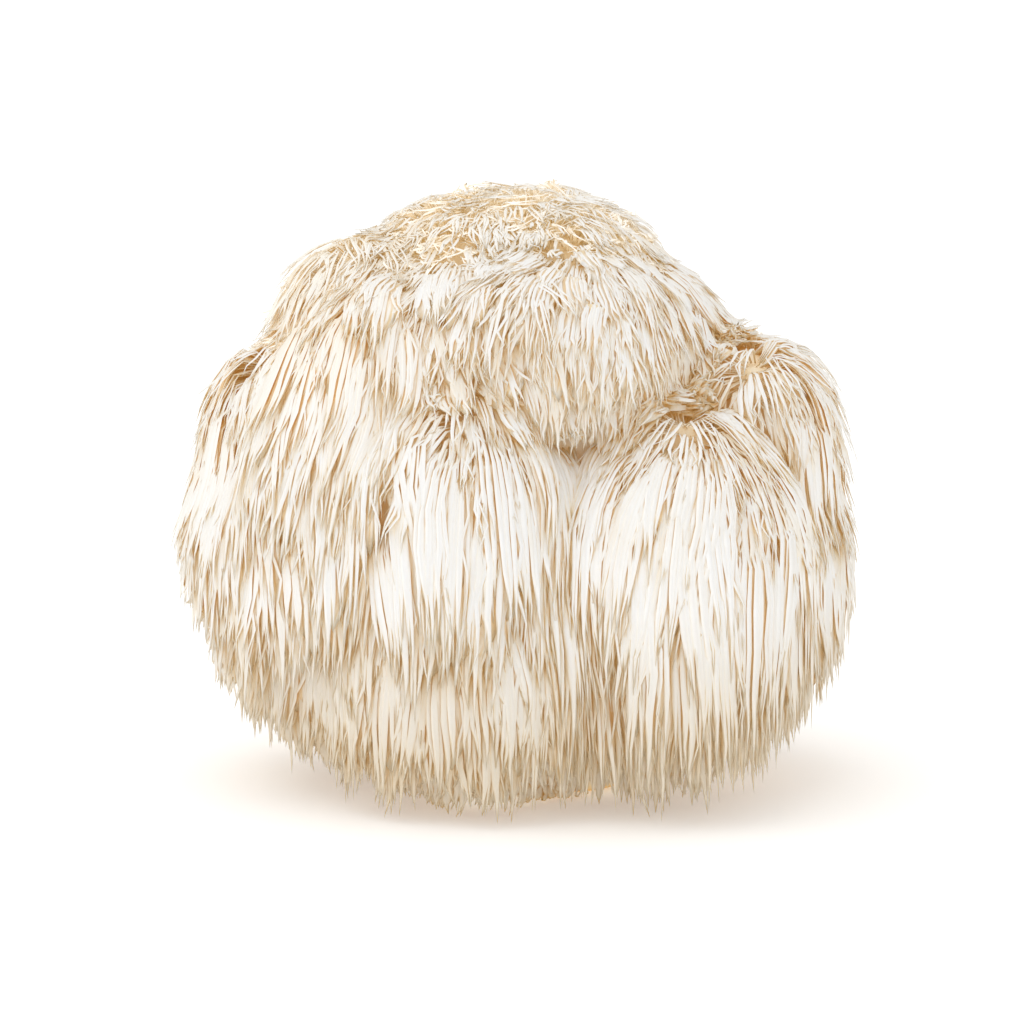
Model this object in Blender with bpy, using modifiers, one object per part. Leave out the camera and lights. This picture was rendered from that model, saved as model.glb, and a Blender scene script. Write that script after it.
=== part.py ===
"""A lion's mane mushroom (Hericium erinaceus), cut from its block and stood on the cut.

The fruiting body grew as one piece: lobes of solid flesh with locks of long spines hanging
from them like icicles, and woolly knobs on its crown. So it is one closed solid. Metres, +Z
up, the front faces -Y, and the origin is the middle of the flat cut that it stands on.
"""

import math

import bmesh
import bpy
import numpy as np

MM = 0.001
NAME = "mushroom"
DOWN = np.array((0.0, 0.0, -1.0))

# The lobes of flesh, in mm: the middle of each, how far it reaches along X, Y and up from
# there, how far down, and the height at which the locks that hang from it end.
LOBES = {
    "heart": ((0, 3, 62), (50, 44, 46), 44, None),
    "foot": ((0, 0, 28), (50, 43, 30), 38, 2),
    "crown": ((0, 4, 104), (30, 26, 20), 30, 86),
    "upper_left": ((-33, 4, 94), (22, 24, 21), 30, 64),
    "left_shoulder": ((-44, -2, 76), (24, 25, 22), 30, 46),
    "left_flank": ((-48, -2, 50), (21, 28, 28), 34, 8),
    "left_skirt": ((-32, -6, 34), (24, 28, 22), 28, 4),
    "left_brow": ((-24, -18, 88), (21, 20, 23), 32, 50),
    "left_front": ((-38, -22, 62), (19, 19, 25), 28, 34),
    "upper_front": ((10, -20, 99), (23, 21, 18), 26, 79),
    "front_left": ((-13, -34, 66), (21, 17, 20), 32, 25),
    "front_right": ((34, -27, 56), (25, 22, 26), 44, 2),
    "front_skirt": ((-10, -21, 30), (30, 25, 24), 30, 1),
    "right_brow": ((21, 6, 103), (20, 26, 18), 26, 78),
    "right_shoulder": ((50, 0, 74), (20, 27, 18), 28, 44),
    "right_flank": ((48, 2, 48), (21, 28, 25), 34, 10),
    "right_skirt": ((35, -4, 30), (26, 30, 22), 26, 4),
    "back_brow": ((-4, 26, 98), (27, 22, 18), 30, 68),
    "back_left": ((-28, 32, 72), (25, 21, 24), 34, 36),
    "back_right": ((27, 32, 66), (25, 21, 26), 36, 24),
    "back_middle": ((-2, 38, 46), (24, 18, 22), 30, 14),
    "back_skirt": ((0, 26, 32), (34, 26, 24), 28, 2),
}
BALL_SEGMENTS = 16
BALL_RINGS = 10
BLEND = 4 * MM  # how softly the locks pass from one lobe to the next

# The bowl that the lowest tips end on: it is flat in the middle and rises to the sides.
BOWL_REACH = np.array((75, 70)) * MM
BOWL_FLAT = 0.62  # the part of its reach that is flat
BOWL_RISE = 36 * MM

# The locks: rows round each lobe, with the angle of their roots above the lobe's middle, how
# far round they are set off from the row above, and their length. A low lobe has one more
# row underneath.
ROWS = ((66, 0.0, 34 * MM), (34, 0.5, 44 * MM), (2, 0.0, 52 * MM))
UNDER_ROW = (-36, 0.5, 32 * MM)
LOW_HEM = 14
LOCK_SPACING = 14 * MM
LOCK_RADIUS = 6.8 * MM
LOCK_PROFILE = (0.45, 0.9, 1.0, 0.84, 0.52, 0.08)
LOCK_STEPS = 4  # steps that the line of a lock is worked out in, for each one that is kept
LOCK_BURIED = 4 * MM  # how deep in the flesh its root lies
LOCK_PROUD = -2 * MM  # how far its middle line keeps out of the flesh at the root
LOCK_LIFT = 0.13  # how much more it keeps out for each metre of its length
LOCK_DROOP = 0.4  # how fast it turns down
LOCK_CLEAR = 4 * MM  # roots further than this inside another lobe carry no lock

# The woolly knobs on the crown, set out like the seeds of a sunflower.
KNOBS = 17
KNOB_RADIUS = 6 * MM
KNOB_SPREAD = math.radians(52)
GOLDEN_TURN = math.pi * (3 - math.sqrt(5))

VOXEL = 1.1 * MM
TRIANGLES = 9400
CUT_BLOCK = 300 * MM

CREAM = (0.86, 0.78, 0.66, 1.0)
ROUGHNESS = 0.75


def lobe_distances(points):
    """How far each point is outside each lobe, in metres, one column for each lobe."""
    columns = []
    for centre, reach, drop, _ in LOBES.values():
        offset = points - np.array(centre) * MM
        size = np.tile(np.array(reach, dtype=float) * MM, (len(points), 1))
        size[offset[:, 2] < 0, 2] = drop * MM
        near = np.linalg.norm(offset / size, axis=1)
        steep = np.linalg.norm(offset / size**2, axis=1)
        columns.append(near * (near - 1) / np.maximum(steep, 1e-9))
    return np.stack(columns, axis=1)


def flesh_distance(points):
    """How far each point is outside the flesh as a whole, with the lobes run together."""
    away = lobe_distances(points)
    return -BLEND * np.log(np.exp(-away / BLEND).sum(axis=1))


def flesh_normal(points):
    """The way straight out of the flesh at each point."""
    step = 0.5 * MM
    slopes = [
        flesh_distance(points + step * axis) - flesh_distance(points - step * axis)
        for axis in np.eye(3)
    ]
    out = np.stack(slopes, axis=1)
    return out / np.linalg.norm(out, axis=1, keepdims=True)


def unit(vector):
    return vector / max(float(np.linalg.norm(vector)), 1e-9)


def bowl_height(spot):
    """The height under which no tip hangs at a place, more towards the sides."""
    out = float(np.linalg.norm(spot[:2] / BOWL_REACH))
    return BOWL_RISE * max(0.0, (out - BOWL_FLAT) / (1 - BOWL_FLAT)) ** 1.5


def lock_path(root, length, hem):
    """The line of one lock: out of the flesh, over it, and down to the hem or the bowl."""
    kept = len(LOCK_PROFILE) - 1
    stride = length / (kept * LOCK_STEPS)
    out = flesh_normal(root[None])[0]
    along = unit(DOWN - out * float(DOWN @ out))
    spot = root - out * LOCK_BURIED
    heading = unit(out * 0.8 + along)
    path = [spot]
    for i in range(kept * LOCK_STEPS):
        heading = unit(heading + LOCK_DROOP * DOWN)
        spot = spot + heading * stride
        clear = LOCK_PROUD + LOCK_LIFT * stride * i
        short = clear - flesh_distance(spot[None])[0]
        if short > 0 and i >= LOCK_STEPS:
            spot = spot + flesh_normal(spot[None])[0] * short
        lowest = max(hem, bowl_height(spot))
        if spot[2] < lowest:
            spot = np.array((spot[0], spot[1], lowest))
            path.append(spot)
            break
        path.append(spot)
    picks = np.linspace(0, len(path) - 1, len(LOCK_PROFILE))
    return [path[round(pick)] for pick in picks]


def lock_roots(lobe, row):
    """Where one row of locks grows round a lobe, leaving out what other lobes cover."""
    centre, reach, drop, _ = lobe
    angle, stagger, _ = row
    rise = math.radians(angle)
    centre = np.array(centre) * MM
    reach = np.array((*reach[:2], reach[2] if rise > 0 else drop)) * MM
    girth = math.tau * (reach[0] + reach[1]) / 2 * math.cos(rise)
    count = max(4, round(girth / LOCK_SPACING))
    for i in range(count):
        turn = math.tau * (i + stagger) / count
        way = np.array((math.cos(turn), math.sin(turn), math.tan(rise))) * math.cos(rise)
        root = centre + way * reach
        if lobe_distances(root[None]).min() > -LOCK_CLEAR:
            yield root


def add_locks():
    """All the locks, as one curve object with a thick line for each."""
    curve = bpy.data.curves.new("locks", "CURVE")
    curve.dimensions = "3D"
    curve.bevel_depth = LOCK_RADIUS
    curve.bevel_resolution = 1
    curve.use_fill_caps = True
    for lobe in LOBES.values():
        hem = lobe[-1]
        if hem is None:
            continue
        rows = (*ROWS, UNDER_ROW) if hem <= LOW_HEM else ROWS
        for row in rows:
            for root in lock_roots(lobe, row):
                path = lock_path(root, row[2], hem * MM)
                spline = curve.splines.new("POLY")
                spline.points.add(len(path) - 1)
                for point, spot, thick in zip(spline.points, path, LOCK_PROFILE):
                    point.co = (*spot, 1)
                    point.radius = thick
    print(len(curve.splines), "locks")
    obj = bpy.data.objects.new("locks", curve)
    bpy.context.scene.collection.objects.link(obj)
    return obj


def as_shape(obj):
    """A curve object as mesh faces, with the caps of its lines welded on. It is used up."""
    graph = bpy.context.evaluated_depsgraph_get()
    mesh = bpy.data.meshes.new_from_object(obj.evaluated_get(graph))
    shape = bmesh.new()
    shape.from_mesh(mesh)
    bmesh.ops.remove_doubles(shape, verts=shape.verts, dist=0.00001)
    bmesh.ops.recalc_face_normals(shape, faces=shape.faces)
    bpy.data.objects.remove(obj)
    return shape


def add_ball(shape, centre, reach, drop):
    """A ball, stretched to its reach, and below its middle to its drop."""
    made = bmesh.ops.create_uvsphere(
        shape, u_segments=BALL_SEGMENTS, v_segments=BALL_RINGS, radius=1
    )
    for vert in made["verts"]:
        depth = reach[2] if vert.co.z > 0 else drop
        vert.co.x = centre[0] + vert.co.x * reach[0]
        vert.co.y = centre[1] + vert.co.y * reach[1]
        vert.co.z = centre[2] + vert.co.z * depth


def add_knobs(shape):
    """The woolly knobs, from the top of the crown out to its brim."""
    centre, reach, _, _ = LOBES["crown"]
    for i in range(KNOBS):
        tilt = KNOB_SPREAD * math.sqrt((i + 0.5) / KNOBS)
        turn = GOLDEN_TURN * i
        way = np.array(
            (math.sin(tilt) * math.cos(turn), math.sin(tilt) * math.sin(turn), math.cos(tilt))
        )
        place = (np.array(centre) + way * np.array(reach)) * MM
        add_ball(shape, place, (KNOB_RADIUS,) * 3, KNOB_RADIUS)


def add_mushroom():
    """The lobes, knobs and locks as one object, still running through each other."""
    shape = as_shape(add_locks())
    for centre, reach, drop, _ in LOBES.values():
        add_ball(shape, np.array(centre) * MM, np.array(reach) * MM, drop * MM)
    add_knobs(shape)
    mesh = bpy.data.meshes.new(NAME)
    shape.to_mesh(mesh)
    shape.free()
    return bpy.data.objects.new(NAME, mesh)


def islands(shape):
    """The groups of faces that hang together, the largest first."""
    left = set(shape.faces)
    groups = []
    while left:
        todo = [left.pop()]
        group = []
        while todo:
            face = todo.pop()
            group.append(face)
            for edge in face.edges:
                for other in edge.link_faces:
                    if other in left:
                        left.remove(other)
                        todo.append(other)
        groups.append(group)
    return sorted(groups, key=len, reverse=True)


def grow_together(obj):
    """Fuses what runs through each other, and fills the pockets sealed inside."""
    grow = obj.modifiers.new("grow_together", "REMESH")
    grow.mode = "VOXEL"
    grow.voxel_size = VOXEL
    graph = bpy.context.evaluated_depsgraph_get()
    mesh = bpy.data.meshes.new_from_object(obj.evaluated_get(graph))
    shape = bmesh.new()
    shape.from_mesh(mesh)
    pockets = [face for group in islands(shape)[1:] for face in group]
    bmesh.ops.delete(shape, geom=pockets, context="FACES")
    shape.to_mesh(mesh)
    shape.free()
    obj.modifiers.clear()
    obj.data = mesh


def thin_out(obj):
    """Keeps few enough faces, most of them where the surface turns."""
    fewer = obj.modifiers.new("fewer_faces", "DECIMATE")
    fewer.ratio = TRIANGLES / (2 * len(obj.data.polygons))


def cut_flat(obj, cutters):
    """Takes away what would lie under the floor, where the mushroom was cut off."""
    bpy.ops.mesh.primitive_cube_add(size=CUT_BLOCK, location=(0, 0, -CUT_BLOCK / 2))
    block = bpy.context.object
    block.name = "cut_block"
    block.hide_render = True
    block.display_type = "WIRE"
    for collection in block.users_collection:
        collection.objects.unlink(block)
    cutters.objects.link(block)
    cut = obj.modifiers.new("cut", "BOOLEAN")
    cut.operation = "DIFFERENCE"
    cut.object = block


def add_flesh_material(obj):
    """Cream white, matt fungus flesh."""
    flesh = bpy.data.materials.new("mushroom_flesh")
    flesh.use_nodes = True
    shader = flesh.node_tree.nodes["Principled BSDF"]
    shader.inputs["Base Color"].default_value = CREAM
    shader.inputs["Roughness"].default_value = ROUGHNESS
    shader.inputs["Metallic"].default_value = 0.0
    obj.data.materials.clear()
    obj.data.materials.append(flesh)


def add_collection(name):
    made = bpy.data.collections.new(name)
    bpy.context.scene.collection.children.link(made)
    return made


def main():
    for obj in list(bpy.data.objects):
        bpy.data.objects.remove(obj)
    parts = add_collection("lions_mane_mushroom")
    cutters = add_collection("cutters")
    mushroom = add_mushroom()
    parts.objects.link(mushroom)
    grow_together(mushroom)
    thin_out(mushroom)
    cut_flat(mushroom, cutters)
    mushroom.data.shade_smooth()
    add_flesh_material(mushroom)


main()
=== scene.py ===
# %% [markdown]
# # A lion's mane mushroom, spine by spine
#
# This lesson dresses a plain solid of a lion's mane mushroom. The real one is a ball of soft
# white flesh that grew from wood in lobes, and every lobe is covered in spines that hang
# straight down, as icicles do. The solid already has the size, the lobes and the cut
# underneath. What is missing is what makes the thing: some twenty thousand spines, each
# a millimetre thick, fused side by side near their roots and fraying into single tips.
#
# The steps are the camera and the light, the flesh, the lines that the spines follow, the
# tubes round those lines, and the finishes. Every length in the script is in metres, and MM
# turns the millimetres of a ruler into metres.

# %% Load the solid that everything is built on
import math

import bmesh
import bpy
import numpy as np
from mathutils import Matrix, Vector
from mathutils.kdtree import KDTree


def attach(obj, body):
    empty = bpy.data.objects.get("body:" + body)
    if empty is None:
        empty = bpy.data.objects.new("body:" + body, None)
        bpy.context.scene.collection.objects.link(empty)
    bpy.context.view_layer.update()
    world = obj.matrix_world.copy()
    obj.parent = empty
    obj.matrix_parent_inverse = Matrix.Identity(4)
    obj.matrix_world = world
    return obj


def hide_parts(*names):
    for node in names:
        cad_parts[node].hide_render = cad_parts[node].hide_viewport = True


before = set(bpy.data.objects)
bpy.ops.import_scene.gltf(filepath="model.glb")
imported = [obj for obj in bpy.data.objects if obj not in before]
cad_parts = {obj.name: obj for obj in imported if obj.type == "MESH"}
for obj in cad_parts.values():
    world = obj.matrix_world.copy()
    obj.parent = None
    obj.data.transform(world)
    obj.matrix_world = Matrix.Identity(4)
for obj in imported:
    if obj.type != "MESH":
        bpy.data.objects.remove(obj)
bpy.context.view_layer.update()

MM = 0.001
NODE = "mushroom"
DOWN = np.array((0.0, 0.0, -1.0))
draw = np.random.default_rng(11)

# %% [markdown]
# ## The camera
#
# The photograph was taken with a longish lens a little above the table, so the top of the
# mushroom and its front show at once. How much near lobes swell towards the viewer comes from
# the distance, which follows from the lens and from how much of the table the frame takes in.

# %% Place the camera
LENS = 120.0  # in mm
SENSOR = 36.0
FRAME_WIDTH = 222.5 * MM  # what the frame spans at the mushroom
RISE = math.radians(9.5)
AIM = Vector((-1.5 * MM, 0.0, 58.0 * MM))
distance = FRAME_WIDTH * LENS / SENSOR

camera_data = bpy.data.cameras.new("camera")
camera_data.lens = LENS
camera_data.sensor_width = SENSOR
camera_data.clip_start = 0.01
camera = bpy.data.objects.new("camera", camera_data)
camera.location = AIM + distance * Vector((0.0, -math.cos(RISE), math.sin(RISE)))
camera.rotation_euler = (math.pi / 2 - RISE, 0.0, 0.0)
bpy.context.scene.collection.objects.link(camera)
bpy.context.scene.camera = camera
print("camera stands", round(distance, 3), "m away")

# %% [markdown]
# ## Tools for finishes
#
# A finish is a small network of nodes. One function adds any node with its settings and its
# inputs, so that the rest of the lesson reads as a list of what each finish is made of.
# Colours are given as sRGB hex, as a colour picker shows them, and one function turns them
# into the linear values that light is reckoned in.


# %% Helpers for colours and nodes
def linear(code):
    """An sRGB hex colour as linear red, green, blue and full cover."""
    shares = [int(code[i : i + 2], 16) / 255 for i in (1, 3, 5)]
    return (*[s / 12.92 if s <= 0.04045 else ((s + 0.055) / 1.055) ** 2.4 for s in shares], 1)


def plug(node, **inputs):
    """Sets or links a node's inputs, by name with _ for a space, or by i and the number."""
    for name, value in inputs.items():
        by_number = name[0] == "i" and name[1:].isdigit()
        socket = node.inputs[int(name[1:]) if by_number else name.replace("_", " ")]
        if isinstance(value, bpy.types.NodeSocket):
            node.id_data.links.new(value, socket)
        else:
            socket.default_value = value


def add(tree, kind, settings=None, **inputs):
    """Adds a node with its settings and its inputs."""
    node = tree.nodes.new(kind)
    for name, value in (settings or {}).items():
        setattr(node, name, value)
    plug(node, **inputs)
    return node


def add_ramp(tree, factor, stops):
    """Adds a colour ramp from pairs of a place and a hex colour."""
    node = add(tree, "ShaderNodeValToRGB", Fac=factor)
    ramp = node.color_ramp
    while len(ramp.elements) < len(stops):
        ramp.elements.new(1.0)
    for element, (place, code) in zip(ramp.elements, stops):
        element.position = place
        element.color = linear(code)
    return node.outputs["Color"]


def add_mix(tree, share, first, second, blend="MIX"):
    """Adds a colour mix. Each side is a link or a hex colour."""
    sides = [linear(x) if isinstance(x, str) else x for x in (first, second)]
    settings = {"data_type": "RGBA", "blend_type": blend}
    node = add(tree, "ShaderNodeMix", settings, i0=share, i6=sides[0], i7=sides[1])
    return node.outputs[2]


def times(tree, first, second):
    """Adds a product of two numbers. Each is a link or a value."""
    return add(tree, "ShaderNodeMath", {"operation": "MULTIPLY"}, i0=first, i1=second).outputs[0]


def between(tree, value, ends, shares):
    """Adds a fade from the first share to the second, while a value goes from end to end."""
    low, high = {"i1": ends[0], "i2": ends[1]}, {"i3": shares[0], "i4": shares[1]}
    return add(tree, "ShaderNodeMapRange", Value=value, **low, **high).outputs[0]


def new_finish(name):
    """An empty finish, with its shader and its node tree."""
    finish = bpy.data.materials.new(name)
    finish.use_nodes = True
    return finish, finish.node_tree, finish.node_tree.nodes["Principled BSDF"]


# %% [markdown]
# ## Table and light
#
# The mushroom was photographed on a white sweep under big soft boxes, so bright that only
# its own shadow shows on the sweep. A bowl of light all round does the same: the world is
# white, and the table is white, very wide and faintly lit from below. A large box above, a
# little to the left, gives the direction that the lobes are read by, and a fainter one low on
# the left opens the shade on that flank.

# %% Build the table, the world and the soft boxes
TABLE_REACH = 30.0
TABLE_GAP = 0.1 * MM  # how far the table lies under the cut
WORLD_STRENGTH = 0.84
GLOW = 0.26  # of full white, from the lamps under the sweep
PAPER_GRAIN = 400.0  # patches a metre, for a tooth of about 2.5 mm in the paper


def make_paper():
    """Matt white background paper: it scatters light evenly, with a faint tooth."""
    finish, tree, shader = new_finish("matt_white_background_paper")
    place = add(tree, "ShaderNodeTexCoord").outputs["Object"]
    tooth = add(tree, "ShaderNodeTexNoise", Vector=place, Scale=PAPER_GRAIN)
    shade = add_ramp(tree, tooth.outputs["Fac"], ((0.3, "#F5F4F2"), (0.7, "#F7F6F4")))
    plug(shader, Base_Color=shade, Roughness=0.9, Specular_IOR_Level=0.1)
    plug(shader, Emission_Color=(1, 1, 1, 1), Emission_Strength=GLOW)
    return finish


bpy.ops.mesh.primitive_circle_add(vertices=96, radius=TABLE_REACH, fill_type="NGON")
table = bpy.context.object
table.name = "table"
table.location.z = -TABLE_GAP
table.data.materials.append(make_paper())

world = bpy.data.worlds.new("white_room")
world.use_nodes = True
plug(world.node_tree.nodes["Background"], Color=(1, 1, 1, 1), Strength=WORLD_STRENGTH)
bpy.context.scene.world = world
bpy.context.scene.view_settings.view_transform = "Standard"

# the way each light comes from, how many degrees wide its box looks, and its strength
SOFT_BOXES = {
    "main_box": ((-0.30, 0.00, 1.00), 55, 0.54),
    "low_box": ((-0.95, -0.40, 0.40), 60, 0.27),
}
for name, (place, width, strength) in SOFT_BOXES.items():
    light = bpy.data.lights.new(name, "SUN")
    light.angle = math.radians(width)
    light.energy = strength
    box = bpy.data.objects.new(name, light)
    box.location = place
    box.rotation_euler = Vector(place).to_track_quat("Z", "Y").to_euler()
    bpy.context.scene.collection.objects.link(box)
print(len(SOFT_BOXES), "soft boxes")

# %% [markdown]
# ## The lobes
#
# The flesh of a lion's mane swells into lobes. Each is close to an egg: round above, and
# drawn out below where its spines hang. The eggs here are nearly the ones that the solid is
# built from, and they carry small knobs, because the tops of the real lobes are lumpy. The
# table gives, in millimetres, the middle of each egg, how far it reaches along X, Y and up,
# how far down, and the height that the tips of its spines hang to.

# %% The eggs that the flesh is made of
LOBES = {
    "heart": ((0, 3, 62), (50, 38, 46), 44, 30),
    "foot": ((5, 0, 28), (38, 36, 30), 38, 2),
    "crown": ((-1, 4, 105), (32, 27, 19.5), 30, 86),
    "upper_left": ((-32, 4, 94.5), (21, 24, 21), 30, 64),
    "left_shoulder": ((-44, -2, 75), (23.5, 25, 22), 30, 30),
    "left_flank": ((-48, -2, 50), (24, 28, 28), 34, 4),
    "left_skirt": ((-32, -6, 34), (24, 28, 22), 28, 4),
    "left_brow": ((-29, -16, 87), (19, 20, 23), 32, 38),
    "middle_brow": ((-12, -17, 95), (14, 19, 20), 24, 82),
    "left_front": ((-38, -22, 62), (19, 19, 25), 28, 21),
    "upper_front": ((10, -20, 99), (23, 21, 18), 26, 74),
    "front_left": ((-13, -34, 66), (21, 17, 20), 32, 20),
    "front_right": ((34, -29, 56), (25, 23, 26), 44, 1),
    "front_skirt": ((-8, -24, 30), (31, 25, 24), 30, 1),
    "right_brow": ((21, 6, 96.5), (23, 26, 18), 26, 78),
    "right_shoulder": ((50, 0, 78), (18.5, 27, 19), 28, 44),
    "right_flank": ((48, 2, 48), (23.5, 28, 25), 34, 12),
    "right_skirt": ((35, -4, 30), (26, 30, 22), 26, 8),
    "back_brow": ((-4, 26, 98), (27, 22, 18), 30, 68),
    "back_left": ((-28, 32, 72), (25, 21, 24), 34, 36),
    "back_right": ((27, 32, 66), (25, 21, 26), 36, 24),
    "back_middle": ((-2, 38, 46), (24, 18, 22), 30, 14),
    "back_skirt": ((0, 26, 32), (34, 26, 24), 28, 2),
}
BED = 2.5 * MM  # how far the flesh lies under the outside of the solid, for the spines to fill
KNOBS = 11
KNOB_RADIUS = 7 * MM
KNOB_SPREAD = math.radians(60)
SUNK = 0.35  # how much of a knob's radius is sunk in its lobe
GOLDEN_TURN = math.pi * (3 - math.sqrt(5))
# smaller knobs on other lobes: the lobe, the way from its middle, and the radius in mm
MOPS = (
    ("upper_left", (-0.2, -0.4, 0.9), 6.5),
    ("upper_left", (-0.5, -0.6, 0.7), 5.0),
    ("upper_left", (0.35, -0.6, 0.75), 4.5),
    ("upper_left", (-0.3, 0.6, 0.8), 5.5),
    ("left_shoulder", (-0.45, -0.45, 0.75), 4.0),
    ("upper_front", (-0.55, -0.75, 0.45), 4.0),
    ("front_left", (0.05, -0.05, 1.0), 4.5),
    ("front_right", (0.0, -0.15, 1.0), 5.5),
    ("right_shoulder", (0.0, -0.72, 0.65), 5.0),
    ("back_brow", (0.1, 0.4, 0.9), 5.5),
    ("back_left", (-0.1, 0.3, 0.95), 5.0),
    ("back_right", (0.1, 0.3, 0.95), 5.0),
)


def on_lobe(name, way, radius):
    """The middle of a knob that is sunk in a lobe, on the given way from the lobe's middle."""
    centre, reach = (np.array(x) * MM for x in LOBES[name][:2])
    way = np.array(way) / np.linalg.norm(way)
    return centre + way * (reach - BED - SUNK * radius)


def knob_eggs():
    """Middles and radii: the crown's knobs, set like sunflower seeds, then the mops."""
    for i in range(KNOBS):
        tilt = KNOB_SPREAD * math.sqrt((i + 0.5) / KNOBS)
        turn = GOLDEN_TURN * i
        way = (math.sin(tilt) * math.cos(turn), math.sin(tilt) * math.sin(turn), math.cos(tilt))
        yield on_lobe("crown", way, KNOB_RADIUS), KNOB_RADIUS
    for name, way, radius in MOPS:
        yield on_lobe(name, way, radius * MM), radius * MM


egg_names = list(LOBES)
egg_centres = np.array([lobe[0] for lobe in LOBES.values()]) * MM
egg_reach = np.array([lobe[1] for lobe in LOBES.values()]) * MM - BED
egg_drop = np.array([lobe[2] for lobe in LOBES.values()]) * MM - BED
for place, radius in knob_eggs():
    egg_names.append("knob")
    egg_centres = np.vstack((egg_centres, place))
    egg_reach = np.vstack((egg_reach, (radius,) * 3))
    egg_drop = np.append(egg_drop, radius)
print(len(egg_names), "eggs,", egg_names.count("knob"), "of them knobs")

# %% [markdown]
# ## How far from the flesh
#
# To lay a line over the lobes, the script has to know how far any point is from the flesh,
# and which way is straight out. The eggs have a formula for both, which takes all the spines
# at once. Where two eggs meet, a soft minimum rounds the valley between them, as flesh does.

# %% Distance to the flesh and the way out of it
BLEND = 3 * MM
APART = 15 * MM  # an egg further away than this has no say


def unit(vectors):
    """The same ways with length one."""
    return vectors / np.maximum(np.linalg.norm(vectors, axis=-1, keepdims=True), 1e-9)


def egg_distances(points, eggs=slice(None)):
    """For each point and egg, how far the point is outside it, and the slope of that."""
    offset = points[:, None, :] - egg_centres[eggs]
    size = np.broadcast_to(egg_reach[eggs], offset.shape).copy()
    size[..., 2] = np.where(offset[..., 2] < 0, egg_drop[eggs], size[..., 2])
    scaled = offset / size
    near = np.linalg.norm(scaled, axis=2)
    slope = scaled / size
    steep = np.maximum(np.linalg.norm(slope, axis=2), 1e-9)
    return near * (near - 1) / steep, slope / steep[..., None]


def near_eggs(points):
    """The numbers of the eggs that are near enough to matter to these points."""
    low, high = points.min(axis=0) - APART, points.max(axis=0) + APART
    depth = np.column_stack((egg_reach[:, :2], egg_drop))
    clear = (egg_centres - depth > high).any(axis=1) | (egg_centres + egg_reach < low).any(axis=1)
    return np.arange(len(egg_names)) if clear.all() else np.flatnonzero(~clear)


def flesh(points):
    """How far each point is outside the flesh, and the way straight out of it."""
    away, slope = egg_distances(points, near_eggs(points))
    nearest = away.min(axis=1, keepdims=True)
    weight = np.exp(-(away - nearest) / BLEND)
    out = unit((weight[..., None] * slope).sum(axis=1))
    return nearest[:, 0] - BLEND * np.log(weight.sum(axis=1)), out


def smooth(values, low, high):
    """0 below low, 1 above high, and a soft step between."""
    share = np.clip((values - low) / (high - low), 0, 1)
    return share * share * (3 - 2 * share)


# %% [markdown]
# ## The flesh
#
# The flesh shows between the spines, where painted shade makes it ochre in the depths, and
# underneath on the pale spongy cut. It is made as a sculptor would rough it out: balls pushed
# together and grown into one by remeshing at two and a half millimetres, sunk half a
# millimetre so that no spine starts in the air, and pressed flat at the table.

# %% Shape the flesh
FLESH_VOXEL = 2.4 * MM
SKIN_DEPTH = 0.5 * MM  # how far it lies under the formula's surface, where the spines start


def add_egg(shape, centre, reach, drop):
    """Adds a ball that is stretched to one egg."""
    made = bmesh.ops.create_uvsphere(shape, u_segments=32, v_segments=20, radius=1)
    for vert in made["verts"]:
        depth = reach[2] if vert.co.z > 0 else drop
        vert.co = Vector(centre) + Vector(
            (vert.co.x * reach[0], vert.co.y * reach[1], vert.co.z * depth)
        )


def make_flesh():
    """The lobes grown together, flat where they were cut from the wood."""
    shape = bmesh.new()
    for centre, reach, drop in zip(egg_centres, egg_reach, egg_drop):
        add_egg(shape, centre, reach, drop)
    mesh = bpy.data.meshes.new("flesh")
    shape.to_mesh(mesh)
    shape.free()
    piece = bpy.data.objects.new("flesh", mesh)
    bpy.context.scene.collection.objects.link(piece)
    grow = piece.modifiers.new("grow", "REMESH")
    grow.mode = "VOXEL"
    grow.voxel_size = FLESH_VOXEL
    graph = bpy.context.evaluated_depsgraph_get()
    grown = bpy.data.meshes.new_from_object(piece.evaluated_get(graph))
    piece.modifiers.clear()
    piece.data = grown
    bpy.data.meshes.remove(mesh)
    places = np.array([vert.co for vert in grown.vertices])
    places -= flesh(places)[1] * SKIN_DEPTH
    places[:, 2] = np.maximum(places[:, 2], 0)
    grown.vertices.foreach_set("co", places.astype(np.float32).ravel())
    grown.shade_smooth()
    return piece


flesh_piece = make_flesh()
print("flesh:", len(flesh_piece.data.polygons), "faces")

# %% [markdown]
# ## What kinds of lock there are
#
# Near their roots the spines are fused side by side into flat locks, and each lock frays
# into single tips. On the lower lobes a lock is a handful of long, thick, straight spines. On
# the upper lobes it is narrow and made of finer ones. Three kinds are threads too thin to
# fuse: the woolly curls of the crown, which dried and browned a little, the longer curls on
# the slope left of it, and the down on the caps of all the lobes. Each kind is a row of real
# sizes, and each lobe names its kind.

# %% The kinds of lock
# All in mm: how far apart the locks root, their length and width, and the thickness of one
# spine. Then how many spines a lock has, how fast the lock turns down and how fast it curls
# (for each mm), how far a spine wanders and over what length, how much further from the
# flesh the lock lies for each mm of its length, and the radius that a free tip curls to.
KINDS = {
    "woolly": (2.9, 9.0, 2.8, 0.6, 5, 0.05, 0.18, 0.5, 4.0, 0.03, 1.3),
    "curly": (3.2, 14.0, 3.4, 0.68, 6, 0.06, 0.10, 0.6, 6.0, 0.05, 1.0),
    "fine": (4.2, 28.0, 5.4, 0.95, 8, 0.10, 0.02, 0.35, 9.0, 0.09, 0.5),
    "middle": (5.2, 44.0, 6.6, 1.25, 7, 0.12, 0.01, 0.35, 12.0, 0.08, 0.35),
    "long": (6.0, 58.0, 7.6, 1.55, 7, 0.13, 0.005, 0.35, 16.0, 0.07, 0.3),
    "downy": (3.2, 25.0, 4.4, 0.9, 4, 0.08, 0.02, 0.35, 8.0, 0.06, 0.4),
}
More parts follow.
